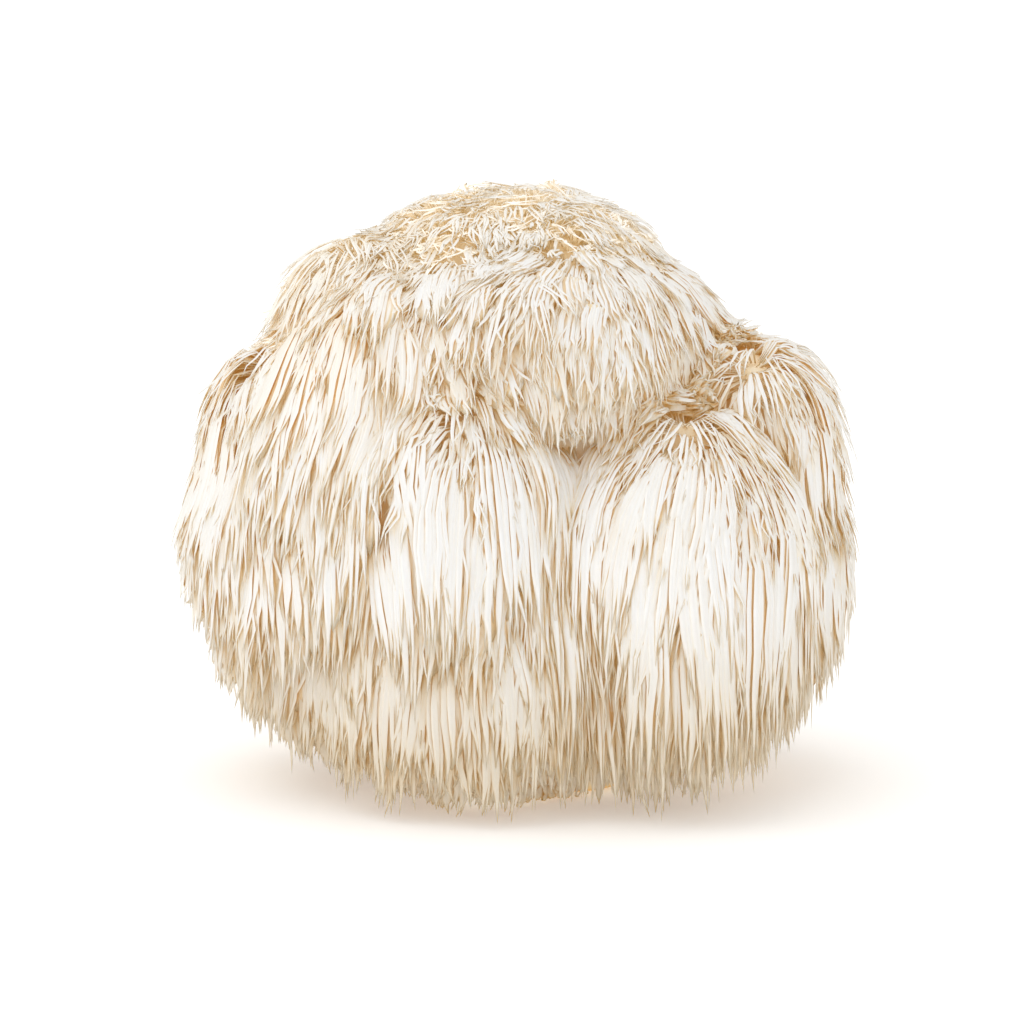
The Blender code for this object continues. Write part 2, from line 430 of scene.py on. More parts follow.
KIND_OF = {"crown": "woolly", "upper_left": "curly", "caps": "downy"}
KIND_OF |= dict.fromkeys(("middle_brow", "upper_front", "right_brow", "back_brow"), "fine")
KIND_OF |= dict.fromkeys(("left_shoulder", "left_brow", "left_front", "right_shoulder"), "middle")
KIND_OF |= dict.fromkeys(("heart", "back_left", "back_right"), "middle")
KIND_OF |= dict.fromkeys([name for name in LOBES if name not in KIND_OF], "long")
CURLS = ("woolly", "curly")
BARE_THREADS = (*CURLS, "downy")  # the kinds that are too thin to fuse
SHARED = 0.8 * MM  # how far inside another lobe a lock may still root
LOWEST_ROOT = 5 * MM
HANGING = 60 * MM  # lobes above this height stay bare underneath, where nothing is seen
UNDERSIDE = -0.6
JITTER = 0.3  # of the spacing


def roots_on(egg, spacing):
    """Evenly scattered roots on an egg, leaving out what other eggs cover."""
    reach, drop = egg_reach[egg], egg_drop[egg]
    widest = max(reach[0] * reach[1], max(reach[0], reach[1]) * max(reach[2], drop))
    count = int(4 * math.pi * widest / spacing**2)
    i = np.arange(count)
    z = 1 - 2 * (i + 0.5) / count
    turn = GOLDEN_TURN * i
    flat = np.sqrt(1 - z * z)
    way = np.stack((flat * np.cos(turn), flat * np.sin(turn), z), axis=1)
    way = unit(way + draw.normal(0, JITTER * math.sqrt(4 * math.pi / count), way.shape))
    size = np.tile(reach, (count, 1))
    size[way[:, 2] < 0, 2] = drop
    spread = size.prod(axis=1) * np.linalg.norm(way / size, axis=1)
    kept = draw.random(count) < spread / widest
    if egg_centres[egg, 2] > HANGING:
        kept &= way[:, 2] > UNDERSIDE
    roots = (egg_centres[egg] + way * size)[kept]
    away, _ = egg_distances(roots)
    away[:, egg] = 1.0
    return roots[(away.min(axis=1) > -SHARED) & (roots[:, 2] > LOWEST_ROOT)]


# %% [markdown]
# ## The line of a lock
#
# A real lock turns down close to the flesh and then hangs like a plumb line, resting on the
# locks below it. The script follows each line in small steps, all lines at once: it turns the
# heading down a little, adds a slight curl, takes a step, and if the line has come too near
# the flesh it is pushed out again. The distance that it has to keep grows along the lock, so
# locks from above lie over locks from below, as tiles do. The bowl is the surface that the
# lowest tips end on.

# %% Follow the locks over the lobes
BOWL_MIDDLE = np.array((2, 0)) * MM
BOWL_REACH = np.array((71, 118)) * MM
BOWL_FLAT = 0.45
BOWL_RISE = 34 * MM
BOWL_STEEP = 2.7
STEPS = 40
SWIRL = 18 * MM
WHORL = 6.0  # how many times more the first headings scatter on the very top
SETTLE = 4 * MM  # the stretch in which a lock leaves the flesh
THREAD_SETTLE = 0.4 * SETTLE
BURIED = 0.7 * MM  # how deep in the flesh a lock roots
LEAST_COVER = 0.3 * MM  # how near the flesh a gathered lock may lie
RAGGED = 9.5 * MM  # how far the ends of a lobe's locks differ
TUFT = 13 * MM  # how far apart the leaders of the tufts root
GATHERED = 0.3  # how much of the way to its leader a lock's end has come
SHORTEST = 5 * MM


def bowl_height(points):
    """How high over the table the lowest tips hang above each place."""
    out = np.linalg.norm((points[..., :2] - BOWL_MIDDLE) / BOWL_REACH, axis=-1)
    return BOWL_RISE * np.maximum(0, (out - BOWL_FLAT) / (1 - BOWL_FLAT)) ** BOWL_STEEP


def swirl(points):
    """A slow wander over the body, from -1 to 1, which combs the locks in tufts."""
    x, y, z = (points / SWIRL).T
    return np.sin(1.3 * x + 2.1 * z + 0.4) * np.cos(1.7 * y - 1.1 * x) + 0.5 * np.sin(2.9 * z + y)


def first_heading(roots, out, scatter, lift):
    """Out of the flesh and down its slope, turned aside by the swirl and by chance.

    On the very top of a lobe chance rules, so the spines there make a whorl.
    """
    scatter = scatter * (1 + WHORL * smooth(out[:, 2], 0.9, 1.0))
    slope = unit(DOWN - out * (out @ DOWN)[:, None])
    across = np.cross(out, slope)
    aside = 0.4 * swirl(roots) + draw.normal(0, scatter)
    along = slope * np.cos(aside)[:, None] + across * np.sin(aside)[:, None]
    return unit(lift * out + along)


def follow(roots, lengths, kind):
    """The lines of many locks, as an array of points for each: its root, then each step."""
    droop, curl, _, _, lift, _ = KINDS[kind][5:]
    _, out = flesh(roots)
    woolly = kind == "woolly"
    heading = first_heading(roots, out, 0.55 if woolly else 0.18, 0.35 if woolly else 0.1)
    settle = THREAD_SETTLE if kind in BARE_THREADS else SETTLE
    stride = (lengths / STEPS)[:, None]
    base = (0.2 + (0.5 if kind in BARE_THREADS else 1.6) * draw.random(len(roots))) * MM
    lift = lift * draw.uniform(0.5, 1.5, len(roots))
    axis = unit(draw.normal(0, 1, roots.shape))
    curl = curl * draw.uniform(0.3, 1.7, (len(roots), 1))
    spot = roots - out * BURIED
    line = [spot]
    for step in range(1, STEPS + 1):
        heading = heading + DOWN * droop * stride / MM
        heading = unit(heading + np.cross(axis, heading) * curl * stride / MM)
        spot = spot + heading * stride
        gone = stride[:, 0] * step
        clear = -BURIED + (base + BURIED) * smooth(gone, 0, settle) + lift * gone
        away, out = flesh(spot)
        short = np.clip(clear - away, 0, 2 * stride[:, 0])
        spot = spot + out * short[:, None]
        line.append(spot)
    return np.stack(line, axis=1)


def ends(lines, lengths, hem):
    """How long each line is where it reaches its hem or the bowl, or else its own end."""
    ragged = RAGGED * draw.random((len(lines), 1)) ** 1.5
    low = np.maximum(hem, bowl_height(lines)) + ragged
    below = lines[..., 2] < low
    first = np.where(below.any(axis=1), below.argmax(axis=1), STEPS)
    return np.maximum(first / STEPS * lengths, np.minimum(SHORTEST, lengths))


def leaders_of(roots, apart):
    """For each root, the number of its leader: a root with no other leader near it."""
    leaders = []
    for i in draw.permutation(len(roots)):
        if all(np.linalg.norm(roots[i] - roots[k]) > apart for k in leaders):
            leaders.append(i)
    gaps = np.linalg.norm(roots[:, None] - roots[leaders][None], axis=2)
    return np.array(leaders)[gaps.argmin(axis=1)]


def gather(lines):
    """Draws the locks together in tufts, by bending each line towards its leader's."""
    leader = leaders_of(lines[:, 0], TUFT)
    pull = GATHERED * smooth(np.arange(STEPS + 1) / STEPS, 0.1, 0.9)[:, None]
    moved = lines.copy()
    for k in np.unique(leader):
        own = np.flatnonzero(leader == k)
        falling = np.minimum.accumulate(lines[k, :, 2])[::-1]
        for axis in (0, 1):
            aim = np.interp(lines[own, :, 2], falling, lines[k, ::-1, axis])
            moved[own, :, axis] += pull[:, 0] * (aim - lines[own, :, axis])
    away, out = flesh(moved.reshape(-1, 3))
    push = np.clip(LEAST_COVER - away, 0, TUFT).reshape(moved.shape[:2])
    push *= smooth(np.arange(STEPS + 1), 2, 6)
    return moved + out.reshape(moved.shape) * push[..., None]


def read_lines(lines, steps):
    """Points on the lines at fractional steps, one row of steps for each line."""
    low = np.clip(np.floor(steps).astype(int), 0, STEPS - 1)
    share = (np.clip(steps, 0, STEPS) - low)[..., None]
    rows = np.arange(len(lines))[:, None]
    return lines[rows, low] * (1 - share) + lines[rows, low + 1] * share


# %% [markdown]
# ## A lock and its tips
#
# Within a lock the spines are fused side by side, so its outside is fluted like a curtain.
# Further down they part, each tip a different length, with a slow wave and a small hook or
# curl at the end. So a lock is made in two parts. One is a flat body with an arched front, on
# which the finish draws the flutes as bumps, with painted shade in their grooves. The other
# is a tube for each spine, which rises out of the body near its root. Threads have no body.

# %% Shape the bodies and the tips
FLOOR_GAP = 0.7 * MM
ARCH = 0.12  # of the lock's width
HOOK = 2.4 * MM
RINGLET_TURN = 1.5 * math.pi  # how far round the most curled tips go
BODY_SHARE = 0.75  # how much of a lock's length stays fused
BODY_RINGS = 5
BODY_FRONT = np.array((1, 0.35, -0.35, -1))  # the corners of the body's front
BODY_BACK = np.array((-0.6, 0.6))
TIP_RINGS = 7
BORN_WITHIN = 4 * MM  # the stretch of a lock in which its spines begin
SPINE_SECTION = np.array(((1, -0.3), (0, 0.5), (-1, -0.3)))  # a flat roof, in radii
TIP_RADIUS = 0.09 * MM


def sideways(lines):
    """For each point of the lines, the way out of the flesh and the way across the lock."""
    _, out = flesh(lines.reshape(-1, 3))
    out = out.reshape(lines.shape)
    across = unit(np.cross(out, np.gradient(lines, axis=1)))
    return out, unit(np.cross(np.gradient(lines, axis=1), across))


def lock_halves(far, width, own):
    """Half the width of the locks at each place: narrow at the root, and a little at the end."""
    spread = (0.6 + 0.4 * smooth(far, 0, 0.3)) * (1 - 0.25 * smooth(far, 0.5, 1))
    return 0.5 * width * MM * own * spread


def arch_rise(place, kind):
    """How far the front stands out of the lock's middle, for places from -1 to 1."""
    return ARCH * KINDS[kind][2] * MM * (1 - place**2)


def lock_bodies(lines, lengths, cut, kind, breadth):
    """Places, frames and ring offsets of the fused part of each lock."""
    width, thick = KINDS[kind][2:4]
    share = np.linspace(0, 1, BODY_RINGS)[None, :]
    gone = BODY_SHARE * cut[:, None] * share
    steps = gone / (lengths / STEPS)[:, None]
    out, _ = (read_lines(way, steps) for way in sideways(lines))
    places = read_lines(lines, steps)
    places[..., 2] = np.maximum(places[..., 2], FLOOR_GAP)
    across = unit(np.cross(out, np.gradient(places, axis=1)))
    sunk = 0.05 + 0.75 * (1 - smooth(share, 0, 0.25)) + 0.5 * smooth(share, 0.7, 1)
    places = places - out * (thick * MM * sunk)[..., None]
    half = lock_halves(gone / cut[:, None], width, breadth[:, None]) * smooth(share, -0.1, 0.3)
    half = (half * (1 - 0.4 * smooth(share, 0.6, 1)))[..., None]
    y_front = arch_rise(BODY_FRONT, kind)[None, None] * smooth(gone, 0, SETTLE)[..., None]
    y_back = np.full((len(lines), BODY_RINGS, 2), -0.5 * thick * MM)
    x = half * np.concatenate((BODY_FRONT, BODY_BACK))
    y = np.concatenate((y_front, y_back), axis=2) * (1 - 0.8 * share**4)[..., None]
    return places, across, out, x, y, share


def lock_tips(lines, lengths, cut, kind, breadth):
    """The middles of the rings of every spine, and the lock that each belongs to."""
    _, _, width, thick, spines, _, _, wander, wave, _, ringlet = KINDS[kind]
    lock = np.repeat(np.arange(len(lines)), spines)
    count = len(lock)
    ridges = 1 - (2 * np.arange(spines) + 1) / spines
    place = np.tile(ridges, len(lines)) + draw.normal(0, 0.5 / spines, count)
    stray = np.arange(count) % spines == 1
    own = cut[lock] * (1 - 0.20 * np.abs(place) ** 1.5 - 0.28 * draw.random(count))
    first = np.minimum(BORN_WITHIN * draw.random(count) / own, 0.4) * (kind not in BARE_THREADS)
    rings = TIP_RINGS - (kind == "downy")
    share = first[:, None] + (1 - first[:, None]) * np.linspace(0, 1, rings)[None, :]
    gone = own[:, None] * share
    steps = gone / (lengths[lock] / STEPS)[:, None]
    out, _ = (read_lines(way[lock], steps) for way in sideways(lines))
    across = unit(np.cross(out, np.gradient(read_lines(lines[lock], steps), axis=1)))
    half = lock_halves(gone / cut[lock][:, None], width, breadth[lock][:, None])
    free = smooth(share, first[:, None], first[:, None] + 0.4)
    layer = thick * MM * (0.1 + 0.45 * free * draw.random((count, 1)))
    sunk = 0.5 * thick * MM * (1 - smooth(share, first[:, None], first[:, None] + 0.15))
    rise = (arch_rise(place, kind)[:, None] + layer) * smooth(gone, 0, SETTLE) - sunk
    places = read_lines(lines[lock], steps) + across * (half * place[:, None])[..., None]
    places = places + out * rise[..., None]
    phase = draw.uniform(0, math.tau, (count, 1))
    swing = np.sin(math.tau * gone / (wave * MM) + phase) * free
    swing = swing * (wander * MM * np.where(stray, 2.5, draw.random(count)))[:, None]
    part = draw.normal(0, 0.8, (count, 1)) + 0.5 * place[:, None]
    lean = unit(out[:, -1] * draw.uniform(-0.1, 1.0, (count, 1)) + across[:, -1] * part)
    hook = HOOK * draw.random((count, 1)) ** 2 * smooth(share, 0.5, 1.15) ** 1.5
    places = places + across * swing[..., None] + lean[:, None] * hook[..., None]
    from_here = 0.3 if kind in BARE_THREADS else 0.45
    least = 0.5 if kind == "woolly" else 0.0
    turn = RINGLET_TURN * draw.uniform(least, 1.0, (count, 1)) * smooth(share, from_here, 1.0)
    size = ringlet * MM * draw.uniform(0.4, 1.4, (count, 1))
    side = np.where(draw.random((count, 1)) < 0.5, -1.0, 1.0)
    forward = unit(np.gradient(places, axis=1))
    places = places + across * (side * size * (1 - np.cos(turn)))[..., None]
    places = places - forward * (size * (turn - np.sin(turn)))[..., None]
    places[..., 2] = np.maximum(places[..., 2], FLOOR_GAP)
    return places, across, lock, stray, share


# %% [markdown]
# ## Tubes
#
# The tubes are built as one mesh for each lobe, all at once, with arrays: a ring of points
# round each place on the line, quads between the rings, a closed root and a single point at
# the tip. A spine's ring has three points, as a low roof has, and a body's has six. The edges
# along both rims are kept sharp, so the front doesn't shade into the back. Each corner also
# gets its place in a flat map where every spine has a narrow strip.

# %% Build a mesh of tubes
STRIP = 14  # how many times longer than wide a spine's strip of the flat map is


def ring_frames(places, start):
    """Two directions square to each line at each ring, carried along without twisting."""
    tangent = unit(np.gradient(places, axis=1))
    side = np.empty_like(tangent)
    side[:, 0] = start
    for k in range(places.shape[1]):
        carried = side[:, max(k - 1, 0)]
        along = (carried * tangent[:, k]).sum(axis=1, keepdims=True)
        side[:, k] = unit(carried - along * tangent[:, k])
    return side, np.cross(tangent, side)


def tube_faces(count, rings, sides):
    """Corner numbers of the quads, tip triangles and root caps, for all the tubes."""
    first = np.arange(count)[:, None, None] * ((rings - 1) * sides + 1)
    k = np.arange(rings - 2)[None, :, None] * sides
    a = np.arange(sides)[None, None, :]
    b = (a + 1) % sides
    low, high = first + k, first + k + sides
    quads = np.stack((low + a, low + b, high + b, high + a), -1)
    brim = first[:, 0] + (rings - 2) * sides
    tip = np.broadcast_to(first[:, 0] + (rings - 1) * sides, (count, sides))
    tips = np.stack((brim + a[0], brim + b[0], tip), -1)
    caps = first[:, 0] + np.arange(sides)[::-1][None, :]
    return quads.reshape(-1, 4), tips.reshape(-1, 3), caps.reshape(-1, sides)


def strip_corners(count, rings, sides):
    """Where each corner lies in the flat map, in the order of tube_faces."""
    across = max(1, math.ceil(math.sqrt(count * STRIP)))
    down = math.ceil(count / across)
    i = np.arange(count)
    corner = np.stack(((i % across) / across, (i // across) / down), -1)[:, None, None, None]
    wide, high = 0.8 / across, 0.96 / down
    k = np.arange(rings - 2)[None, :, None]
    a = np.arange(sides)[None, None, :]
    u = np.stack((a, a + 1, a + 1, a), -1) / sides + 0 * k[..., None]
    v = np.stack((k, k, k + 1, k + 1), -1) / (rings - 1) + 0 * a[..., None]
    quads = corner + np.stack((u * wide, v * high), -1)
    ring = (rings - 2) / (rings - 1)
    a = np.arange(sides)
    u = np.stack((a, a + 1, a + 0.5), -1) / sides
    v = np.broadcast_to((ring, ring, 1.0), (sides, 3))
    tips = corner[:, 0] + np.stack((u * wide, v * high), -1)[None]
    turn = math.tau * np.arange(sides)[::-1] / sides
    caps = np.stack((0.5 + 0.4 * np.cos(turn), 0.5 + 0.4 * np.sin(turn)), -1) * (wide, 0.02 * high)
    caps = corner[:, 0, 0] + caps[None]
    return [x.reshape(-1, 2) for x in (quads, tips, caps)]


def tube_batch(places, side, other, x, y, values, strip, rims):
    """Points, faces, flat map, values and rims of many tubes. x and y are offsets on the rings."""
    count, rings, sides = x.shape
    rim = side[:, :-1, None] * x[:, :-1, :, None] + other[:, :-1, None] * y[:, :-1, :, None]
    body = (places[:, :-1, None] + rim).reshape(count, -1, 3)
    points = np.concatenate((body, places[:, -1:]), axis=1).reshape(-1, 3)
    flat = np.concatenate(strip_corners(count, rings, sides)) * (strip[1], 1) + (strip[0], 0)
    spread = {}
    for title, numbers in values.items():
        on_rings = np.broadcast_to(numbers, (count, rings, sides))
        on_points = (on_rings[:, :-1].reshape(count, -1), on_rings[:, -1, :1])
        spread[title] = np.concatenate(on_points, axis=1).ravel()
    corner = np.tile(np.arange(sides), rings - 1)
    rim = np.select([corner == k for k in rims], range(1, len(rims) + 1), 0)
    return points, tube_faces(count, rings, sides), flat, spread, np.tile(np.append(rim, 0), count)


def crease(mesh, rims):
    """Keeps the edges sharp that run along a rim, from points with the same rim number."""
    ends = np.empty(2 * len(mesh.edges), np.int32)
    mesh.edges.foreach_get("vertices", ends)
    near, far = rims[ends.reshape(-1, 2)].T
    made = mesh.attributes.new("sharp_edge", "BOOLEAN", "EDGE")
    made.data.foreach_set("value", (near == far) & (near > 0))


def carry(mesh, title, numbers):
    """Gives each point of a mesh a number that its finish reads."""
    made = mesh.attributes.new(title, "FLOAT", "POINT")
    made.data.foreach_set("value", numbers.astype(np.float32))


def build_mesh(name, batches):
    """One mesh object of all the batches, with the named values on its points."""
    mesh = bpy.data.meshes.new(name)
    corners, sizes, first = [], [], 0
    for points, faces, *_ in batches:
        corners += [f.ravel() + first for f in faces]
        sizes += [np.full(len(f), f.shape[1]) for f in faces]
        first += len(points)
    corners, sizes = np.concatenate(corners), np.concatenate(sizes)
    mesh.vertices.add(first)
    mesh.vertices.foreach_set("co", np.vstack([b[0] for b in batches]).astype(np.float32).ravel())
    mesh.loops.add(len(corners))
    mesh.loops.foreach_set("vertex_index", corners.astype(np.int32))
    mesh.polygons.add(len(sizes))
    mesh.polygons.foreach_set("loop_start", (np.cumsum(sizes) - sizes).astype(np.int32))
    mesh.update(calc_edges=True)
    flat_map = mesh.uv_layers.new(name="OFBake")
    flat_map.data.foreach_set("uv", np.vstack([b[2] for b in batches]).astype(np.float32).ravel())
    for title in batches[0][3]:
        carry(mesh, title, np.concatenate([b[3][title] for b in batches]))
    mesh.shade_smooth()
    crease(mesh, np.concatenate([b[4] for b in batches]))
    piece = bpy.data.objects.new(name, mesh)
    bpy.context.scene.collection.objects.link(piece)
    return piece


# %% [markdown]
# ## Growing the spines of a lobe
#
# A spine is nearly even for most of its length and tapers over the last third to a point a
# fifth of a millimetre wide. Spines near the top of a lobe are shorter and thinner. Where the
# locks still leave flesh bare, short ones are planted between them. Each spine also carries
# what its finish has to know: how tanned it is, as the crown and the slope to its left have
# dried to gold, and how deep it lies under others, where the finish paints shade.

# %% Grow every lobe's spines
CAP_SLOPE = 0.4  # how upright the flesh has to face where the caps' threads root
MOP_CLOSER = 0.8  # the spacing of the threads on a mop, as a share of their usual one
CROWN_SPACING = 3.6 * MM  # between them on the crown
CROWN_SHARE = 0.55  # of their full length, which they reach there
THIN_ROOT = 2  # the steps at a root that are too thin to cover the flesh
BARE = 1.9 * MM  # how far off the nearest lock is where the flesh counts as bare
LOOK_SPACING = 3 * MM  # between the spots that are looked at
LOOK_ABOVE = 1 * MM
FILL_SPACING = 4.8 * MM
FILL_SHARE = 0.6  # of the full length, but the crown's fill is as long as the rest
FINER_CAPS = 0.65  # the tufts on the caps close up more than the rest
OVER = 2.8 * MM  # how far above a lock another one has to lie to shade it


def thickness(share):
    """The thickness along a spine as a share of its full one."""
    return (1.06 - 0.1 * share) * (1 - share**3.5) ** 0.8


def tan_at(points):
    """How dried and golden the spines are: most on the crown and the slope left of it."""
    x, z = points[:, 0] / MM, points[:, 2] / MM
    crown = (0.15 + 0.5 * smooth(-x, -8, 14)) * smooth(z, 108, 124)
    slope = smooth(-x, 12, 38) * smooth(z, 84, 108)
    shoulder = 0.45 * smooth(-x, 48, 64) * smooth(z, 66, 82)
    return np.clip(np.maximum(np.maximum(crown, slope), shoulder), 0, 1)


def eggs_of(name):
    """The numbers of a lobe's eggs: its own, with the knobs of the crown, or all the mops."""
    first_mop = len(LOBES) + KNOBS
    if name == "caps":
        return list(range(first_mop, len(egg_names)))
    return [egg_names.index(name), *(range(len(LOBES), first_mop) if name == "crown" else ())]


def cap_roots():
    """Roots and length shares for the down on top of the lobes and on the crown."""
    found = []
    for name in LOBES:
        if KIND_OF[name] not in BARE_THREADS:
            roots = roots_on(egg_names.index(name), KINDS["downy"][0] * MM)
            found.append(roots[flesh(roots)[1][:, 2] > CAP_SLOPE])
    for egg in eggs_of("caps"):
        found.append(roots_on(egg, MOP_CLOSER * KINDS["downy"][0] * MM))
    shares = [np.ones(len(roots)) for roots in found]
    for egg in eggs_of("crown"):
        roots = roots_on(egg, CROWN_SPACING)
        found.append(roots[flesh(roots)[1][:, 2] > CAP_SLOPE])
        shares.append(np.full(len(found[-1]), CROWN_SHARE))
    return np.vstack(found), np.concatenate(shares)


def plant(name, roots, share):
    """The lines, full lengths and lengths to the hem of the locks that root at these places."""
    kind = KIND_OF[name]
    _, out = flesh(roots)
    tops = smooth(out[:, 2], 0.55, 1.0)
    full = KINDS[kind][1] * MM * draw.uniform(0.7, 1.1, len(roots)) * share
    if kind not in ("long", "downy"):
        full = full * (1 - 0.3 * tops)
    lines = follow(roots, full, kind)
    if kind not in BARE_THREADS:
        lines = gather(lines)
    hem = LOBES[name][3] * MM if name in LOBES else 0
    return lines, full, ends(lines, full, hem), tops


def shown(lines, full, cut, _tops):
    """Which points of the lines lie before the place where each lock ends."""
    return np.arange(STEPS + 1) / STEPS * full[:, None] <= cut[:, None]


def gap_finder(places):
    """A function that tells how far spots above the flesh are from the nearest of these."""
    near = KDTree(len(places))
    for i, place in enumerate(places):
        near.insert(place, i)
    near.balance()

    def gaps(spots, above):
        _, out = flesh(spots)
        return np.array([near.find(s)[2] for s in spots + out * above])

    return gaps


def fill_bare(grown):
    """Plants short locks where no lock passes near the flesh."""
    parts = [(g[0][:, THIN_ROOT:], shown(*g)[:, THIN_ROOT:]) for g in grown.values()]
    gaps = gap_finder(np.vstack([lines[kept] for lines, kept in parts]))
    for name in (*LOBES, "caps"):
        finer = FINER_CAPS if name == "caps" else 1
        spots = np.vstack([roots_on(egg, finer * LOOK_SPACING) for egg in eggs_of(name)])
        if len(spots):
            spots = spots[gaps(spots, LOOK_ABOVE) > finer * BARE]
        if len(spots):
            spots = spots[np.unique(leaders_of(spots, finer * FILL_SPACING))]
            more = plant(name, spots, 1.0 if name == "crown" else FILL_SHARE)
            grown[name] = [np.concatenate(pair) for pair in zip(grown[name], more)]
            print(name, len(spots), "locks more")


def bury_depth(grown):
    """How deep each line's points, and the flesh's, lie under other locks, 0 to 1, which the
    finishes paint as shade.
    """
    gaps = gap_finder(np.vstack([parts[0][shown(*parts)][::2] for parts in grown.values()]))
    depth = {}
    for name, (lines, *_) in grown.items():
        under = 1 - smooth(gaps(lines.reshape(-1, 3), OVER), 0.35 * OVER, 0.9 * OVER)
        depth[name] = under.reshape(lines.shape[:2])
    spots = np.array([v.co for v in flesh_piece.data.vertices])
    carry(flesh_piece.data, "deep", 1 - smooth(gaps(spots, OVER), 0.4 * OVER, OVER))
    return depth


def read_depth(depth, steps):
    """The depth at fractional steps of each line, as read_lines reads places."""
    return read_lines(depth[..., None], steps)[..., 0]


def grow_spines(name, lines, full, cut, tops, depth):
    """All the spines of one lobe, as one piece."""
    kind = KIND_OF[name]
    thick = KINDS[kind][3]
    breadth = draw.uniform(0.65, 1.3, len(lines))
    places, across, lock, stray, share = lock_tips(lines, full, cut, kind, breadth)
    grown = draw.lognormal(0, 0.18, len(lock)) * (1 - 0.25 * tops[lock]) * np.where(stray, 0.6, 1)
    born = 0.35 + 0.65 * smooth(share, share[:, :1], share[:, :1] + 0.4)
    radii = 0.5 * thick * MM * grown[:, None] * thickness(share) * born
    radii = np.maximum(radii, TIP_RADIUS)
    tan = np.clip(tan_at(lines[:, 0]) + draw.normal(0, 0.08, len(lines)), 0, 1)[:, None, None]
    # how deep each point lies under other locks, which the finish paints as shade
    under = read_depth(depth[lock], share * (cut / full * STEPS)[lock][:, None])
    own = draw.random((len(lines), 1, 1))
    values = {"along": share[..., None], "tan": tan[lock], "own": own[lock]}
    fluffy = np.full((1, 1, 1), float(kind in CURLS))
    values.update(deep=under[..., None], across=np.zeros((1, 1, 1)), fluffy=fluffy)
    frames = ring_frames(places, across[:, 0])
    offsets = (radii[..., None] * side for side in SPINE_SECTION.T)
    batches = [tube_batch(places, *frames, *offsets, values, (0.0, 0.49), (0, 2))]
    if kind not in BARE_THREADS:
        places, across, out, x, y, share = lock_bodies(lines, full, cut, kind, breadth)
        share = BODY_SHARE * share
        under = read_depth(depth, share * (cut / full * STEPS)[:, None])
        values = {"along": share[..., None], "tan": tan, "own": own}
        values.update(deep=under[..., None], across=x / MM, fluffy=fluffy)
        batches.append(tube_batch(places, across, out, x, y, values, (0.5, 0.5), (0, 3)))
    piece = build_mesh("spines_" + name, batches)
    print(piece.name, len(lines), "locks,", len(lock), "spines")
    return piece


grown = {}
for name in LOBES:
    spacing = KINDS[KIND_OF[name]][0] * MM
    grown[name] = plant(name, np.vstack([roots_on(egg, spacing) for egg in eggs_of(name)]), 1.0)
grown["caps"] = plant("caps", *cap_roots())
fill_bare(grown)
depths = bury_depth(grown)
spine_pieces = [grow_spines(name, *parts, depths[name]) for name, parts in grown.items()]
triangles = [len(p.data.loops) - 2 * len(p.data.polygons) for p in spine_pieces]
print(sum(triangles), "triangles of spines, at most", max(triangles), "in a piece")

# %% [markdown]
# ## The finish of the spines
#
# A fungus spine is wet, white, slightly see-through tissue with a matt skin. Light scatters
# in it and comes out warm, so the spines in front look white and the gaps golden. True
# scattering doubles the time of a picture, so painted light stands for it: painted shade
# turns the colour golden where other surfaces stand within four millimetres in front, and a
# faint warm painted glow lifts those gaps, and a fainter one the open spines. The colour also
# differs a little along a spine and between spines, the dried curls are creamier and glow
# more, painted shade turns spines ochre where other locks cover them, and painted shade
# makes the lowest tips ochre.

# %% Make the spine finish
STREAK = 900.0  # streaks a metre, for streaks of about 1 mm, the width of a spine
PORE = 5000.0  # bumps a metre, for the 0.2 mm roughness of the skin
PATCH = 260.0  # patches a metre, for the 4 mm clouds in the flesh
PIT = 900.0  # pits a metre, for the 1 mm sponge of the flesh
FLUTES = (1.3, 2.5, 40.0)  # for each mm across a lock, along its length, and from lock to lock
TISSUE_IOR = 1.40
GAP = 4.0 * MM  # how deep a gap has to be to look golden
PAINTED_GAP_GLOW = 0.12  # of full white: a painted glow in a deep gap, for the light that would pass through the flesh
SPINE_PAINTED_GLOW, CURL_PAINTED_GLOW, FLESH_PAINTED_GLOW = 0.06, 0.30, 0.065  # and the painted glow of what is in the open
CROWN_RISES = (100 * MM, 116 * MM)  # between these heights the painted gold shade of the gaps fades to a quarter
CROWN_FADE = (1.0, 0.25)
LOW_SHADE_FALLS = (46 * MM, 12 * MM)  # between these heights painted shade turns the spines ochre, darker towards the bottom


def read_value(tree, title):
    """What the mesh carries on its points under this name."""
    return add(tree, "ShaderNodeAttribute", {"attribute_name": title}).outputs["Fac"]


def add_painted_gap_shade(tree, shader, glow_in_open):
    """Painted shade, white in the open and gold where other spines stand close in front, and a
    painted glow.
    """
    node = add(tree, "ShaderNodeAmbientOcclusion", {"samples": 4}, Distance=GAP)
    open_share = node.outputs["AO"]
    painted_glow_colour = add_ramp(tree, open_share, ((0.0, "#E2B455"), (0.45, "#FADDA6"), (0.8, "#FFEDD2")))
    light = between(tree, open_share, (0.0, 0.6), (PAINTED_GAP_GLOW, glow_in_open))
    plug(shader, Emission_Color=painted_glow_colour, Emission_Strength=light)
    stops = ((0.0, "#F2CC82"), (0.15, "#F8DFAC"), (0.4, "#FDF3DF"), (0.7, "#FFFFFF"))
    return add_ramp(tree, open_share, stops)


